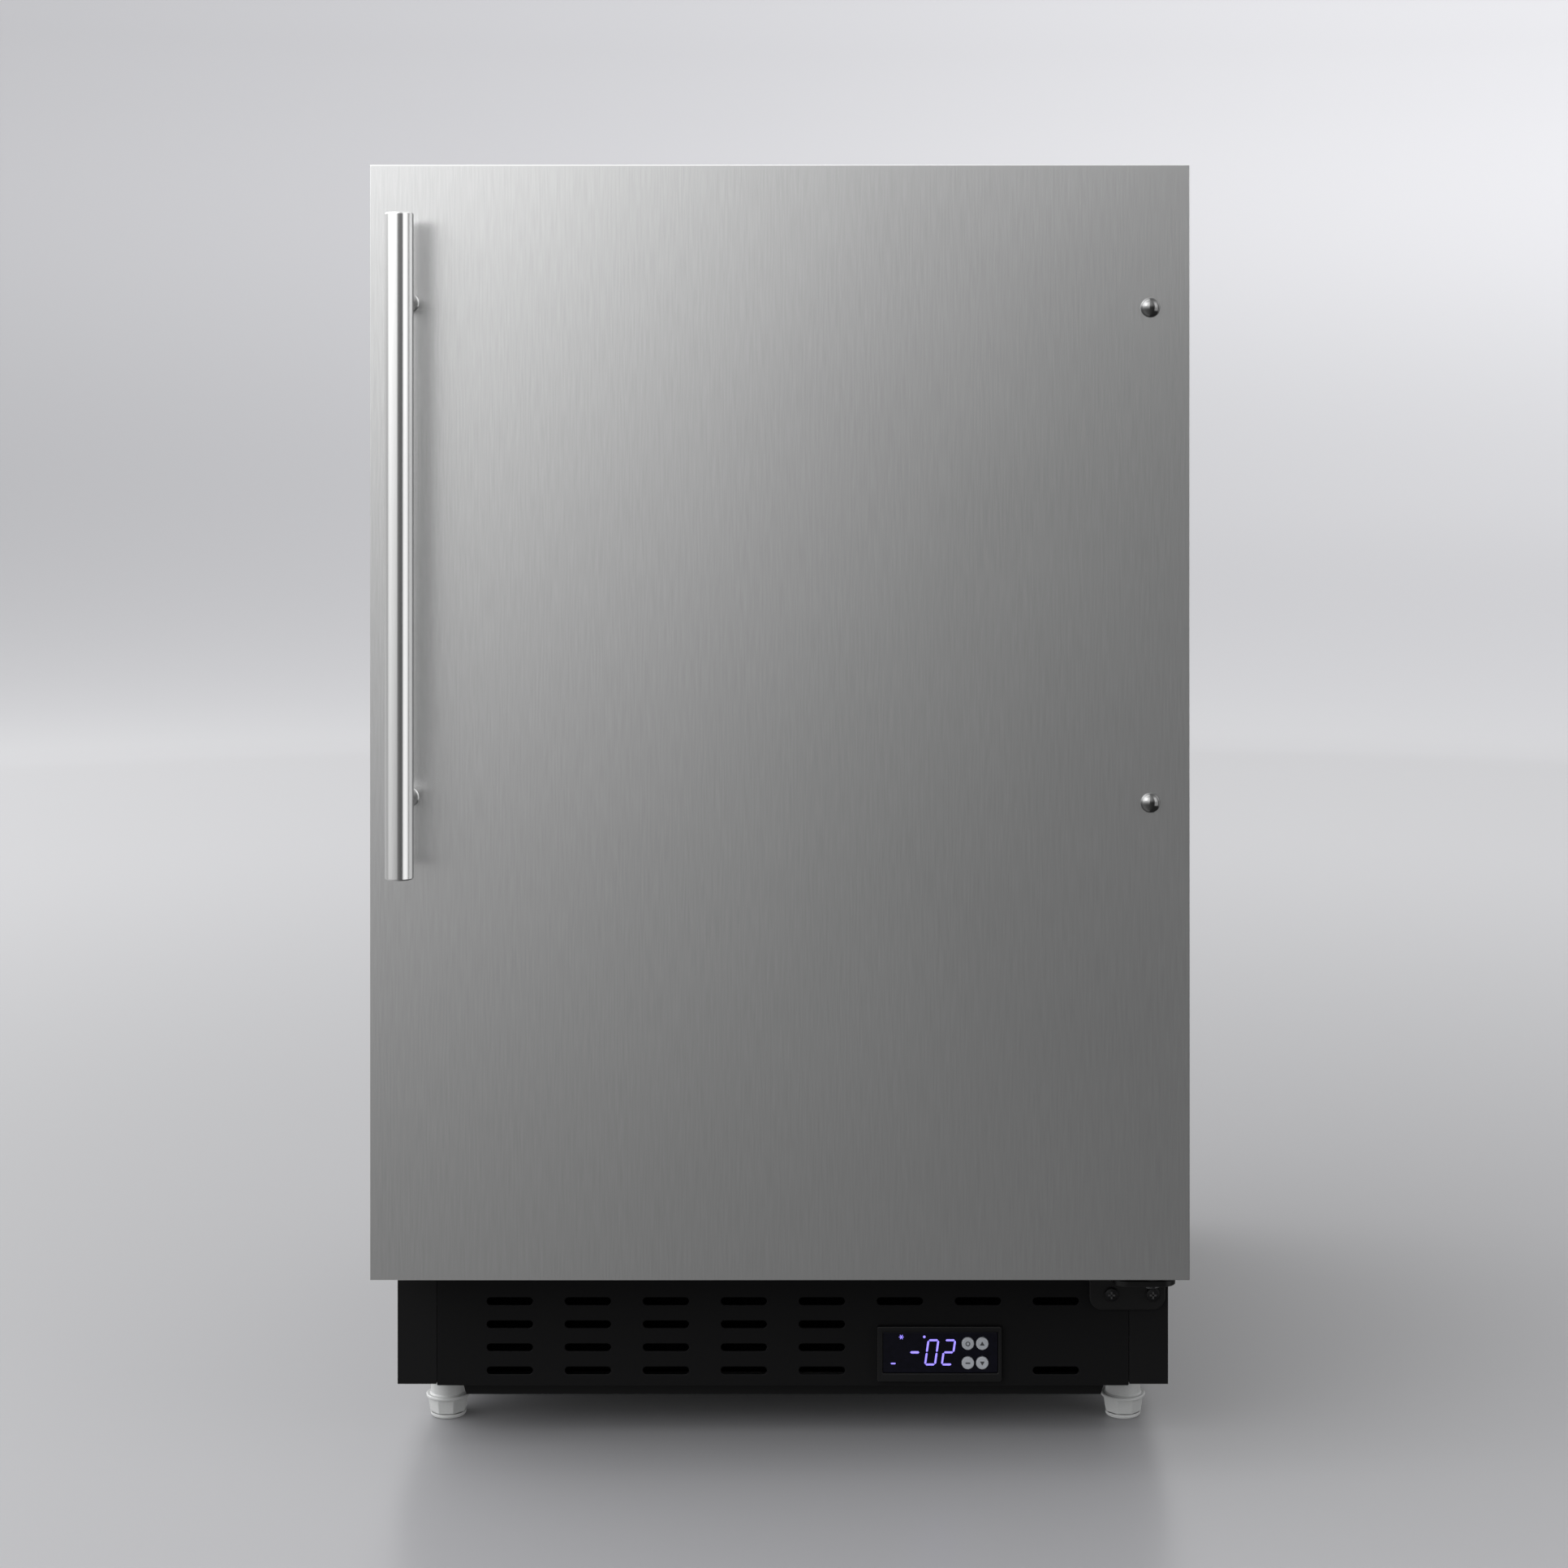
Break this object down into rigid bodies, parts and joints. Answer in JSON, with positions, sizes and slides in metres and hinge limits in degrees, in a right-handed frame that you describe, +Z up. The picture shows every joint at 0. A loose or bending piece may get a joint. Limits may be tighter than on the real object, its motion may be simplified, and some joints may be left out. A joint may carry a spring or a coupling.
{
  "type": "undercounter refrigerator",
  "caption": "Compact black undercounter refrigerator with a right-hinged brushed stainless door, long bar handle, vented kick with digital controller, and levelling feet.",
  "frame": {"origin": "on the floor, below the middle of the object's box", "axes": "+X to the right seen from the front, the door faces -Y, +Z up"},
  "size_m": [0.498, 0.62, 0.8],
  "materials": {
    "door_stainless": "vertical brushed grain, satin",
    "handle_steel": "polished stainless, faint length-wise polish lines",
    "plug_chrome": "polished dome",
    "cabinet_black": "satin black powder coat, fine texture",
    "kick_black": "satin black powder coat",
    "zinc_steel": "zinc-plated sheet with faint spangle",
    "hinge_black": "black e-coat, rubbed at the edges",
    "hinge_pin_steel": "bright zinc plated",
    "screw_steel": "black oxide",
    "liner_white": "vacuum-formed polystyrene, low orange peel",
    "rack_clear": "clear moulded tray",
    "shelf_wire": "white powder-coated wire",
    "foam_core": "rigid polyurethane foam, cut-cell surface",
    "seal_rubber": "soft vinyl seal",
    "cap_plastic": "moulded black plastic",
    "bush_nylon": "natural nylon",
    "controller_black": "fine-textured moulded bezel",
    "controller_lens": "smoked lens over a two-digit display",
    "button_grey": "soft-touch button",
    "foot_grey": "moulded light grey plastic",
    "coil_aluminium": "mill-finish fins",
    "coil_black": "black painted tube and fin",
    "compressor_black": "black enamelled can",
    "cord_rubber": "matt black cable sheath and moulded plug"
  },
  "bodies": {
    "cabinet": {"outer_wrapper": "cabinet_black", "inner_liner": "liner_white", "insulation_foam": "foam_core", "back_panel": "zinc_steel", "compressor_cover": "zinc_steel", "base_pan": "cabinet_black", "kick_grille": "kick_black", "controller_case": "controller_black", "controller_window": "controller_lens", "lower_hinge_bracket": "hinge_black", "upper_hinge_bracket": "hinge_black", "lower_hinge_pin": "hinge_pin_steel", "upper_hinge_pin": "hinge_pin_steel", "upper_hinge_screw_1": "screw_steel", "upper_hinge_screw_2": "screw_steel", "lower_hinge_screw_1": "screw_steel", "lower_hinge_screw_2": "screw_steel", "evaporator": "coil_aluminium", "evaporator_cover": "liner_white", "evaporator_fan_motor": "cap_plastic", "condenser": "coil_black", "condenser_fan_motor": "compressor_black", "compressor": "compressor_black", "drain_pan": "cap_plastic", "power_cord": "cord_rubber", "foot_stud_front_left": "hinge_pin_steel", "foot_stud_front_right": "hinge_pin_steel", "foot_stud_rear_left": "hinge_pin_steel", "foot_stud_rear_right": "hinge_pin_steel"},
    "door": {"door_skin": "door_stainless", "door_foam": "foam_core", "door_inner_liner": "liner_white", "door_gasket": "seal_rubber", "door_top_cap": "cap_plastic", "door_bottom_cap": "cap_plastic", "handle_rod": "handle_steel", "handle_post_upper": "handle_steel", "hole_plug_upper": "plug_chrome", "door_rack_upper": "rack_clear", "hinge_bush_upper": "bush_nylon", "handle_post_lower": "handle_steel", "hole_plug_lower": "plug_chrome", "door_rack_lower": "rack_clear", "hinge_bush_lower": "bush_nylon"},
    "button_1": {"controller_button_1": "button_grey"},
    "button_2": {"controller_button_2": "button_grey"},
    "button_3": {"controller_button_3": "button_grey"},
    "button_4": {"controller_button_4": "button_grey"},
    "condenser_fan": {"condenser_fan_blade": "coil_aluminium"},
    "evaporator_fan": {"evaporator_fan_blade": "cap_plastic"},
    "shelf_upper": {"wire_shelf_upper": "shelf_wire"},
    "shelf_lower": {"wire_shelf_lower": "shelf_wire"},
    "foot_front_left_glide": {"foot_glide_front_left": "foot_grey"},
    "foot_front_left": {"foot_body_front_left": "foot_grey"},
    "foot_front_right_glide": {"foot_glide_front_right": "foot_grey"},
    "foot_front_right": {"foot_body_front_right": "foot_grey"},
    "foot_rear_left_glide": {"foot_glide_rear_left": "foot_grey"},
    "foot_rear_left": {"foot_body_rear_left": "foot_grey"},
    "foot_rear_right_glide": {"foot_glide_rear_right": "foot_grey"},
    "foot_rear_right": {"foot_body_rear_right": "foot_grey"}
  },
  "joints": [
    {"name": "door_swing", "type": "hinge", "parent": "cabinet", "child": "door", "pos_m": [0.228, -0.241, 0.45], "axis": [0, 0, 1], "range_deg": [0, 120]},
    {"name": "button_1_press", "type": "slide", "parent": "cabinet", "child": "button_1", "axis": [0, 1, 0], "range_m": [0, 0.0006], "stiffness_N_per_m": 60},
    {"name": "button_2_press", "type": "slide", "parent": "cabinet", "child": "button_2", "axis": [0, 1, 0], "range_m": [0, 0.0006], "stiffness_N_per_m": 60},
    {"name": "button_3_press", "type": "slide", "parent": "cabinet", "child": "button_3", "axis": [0, 1, 0], "range_m": [0, 0.0006], "stiffness_N_per_m": 60},
    {"name": "button_4_press", "type": "slide", "parent": "cabinet", "child": "button_4", "axis": [0, 1, 0], "range_m": [0, 0.0006], "stiffness_N_per_m": 60},
    {"name": "condenser_fan_spin", "type": "hinge", "parent": "cabinet", "child": "condenser_fan", "pos_m": [-0.11, 0.136, 0.132], "axis": [0, -1, 0], "continuous": true},
    {"name": "evaporator_fan_spin", "type": "hinge", "parent": "cabinet", "child": "evaporator_fan", "pos_m": [0, 0.19775, 0.672], "axis": [0, -1, 0], "continuous": true},
    {"name": "shelf_upper_slide", "type": "slide", "parent": "cabinet", "child": "shelf_upper", "axis": [0, -1, 0], "range_m": [0, 0.012]},
    {"name": "shelf_lower_slide", "type": "slide", "parent": "cabinet", "child": "shelf_lower", "axis": [0, -1, 0], "range_m": [0, 0.012]},
    {"name": "foot_front_left_height", "type": "slide", "parent": "cabinet", "child": "foot_front_left_glide", "axis": [0, 0, -1], "range_m": [0, 0.0075]},
    {"name": "foot_front_left_turn", "type": "hinge", "parent": "foot_front_left_glide", "child": "foot_front_left", "pos_m": [-0.219, -0.146, 0.02], "axis": [0, 0, -1], "range_deg": [0, 1800]},
    {"name": "foot_front_right_height", "type": "slide", "parent": "cabinet", "child": "foot_front_right_glide", "axis": [0, 0, -1], "range_m": [0, 0.0075]},
    {"name": "foot_front_right_turn", "type": "hinge", "parent": "foot_front_right_glide", "child": "foot_front_right", "pos_m": [0.219, -0.146, 0.02], "axis": [0, 0, -1], "range_deg": [0, 1800]},
    {"name": "foot_rear_left_height", "type": "slide", "parent": "cabinet", "child": "foot_rear_left_glide", "axis": [0, 0, -1], "range_m": [0, 0.0075]},
    {"name": "foot_rear_left_turn", "type": "hinge", "parent": "foot_rear_left_glide", "child": "foot_rear_left", "pos_m": [-0.219, 0.246, 0.02], "axis": [0, 0, -1], "range_deg": [0, 1800]},
    {"name": "foot_rear_right_height", "type": "slide", "parent": "cabinet", "child": "foot_rear_right_glide", "axis": [0, 0, -1], "range_m": [0, 0.0075]},
    {"name": "foot_rear_right_turn", "type": "hinge", "parent": "foot_rear_right_glide", "child": "foot_rear_right", "pos_m": [0.219, 0.246, 0.02], "axis": [0, 0, -1], "range_deg": [0, 1800]}
  ],
  "couplings": [
    {"joint": "foot_front_left_turn", "follows": "foot_front_left_height", "rad_per_m": 4188.8},
    {"joint": "foot_front_right_turn", "follows": "foot_front_right_height", "rad_per_m": 4188.8},
    {"joint": "foot_rear_left_turn", "follows": "foot_rear_left_height", "rad_per_m": 4188.8},
    {"joint": "foot_rear_right_turn", "follows": "foot_rear_right_height", "rad_per_m": 4188.8}
  ]
}
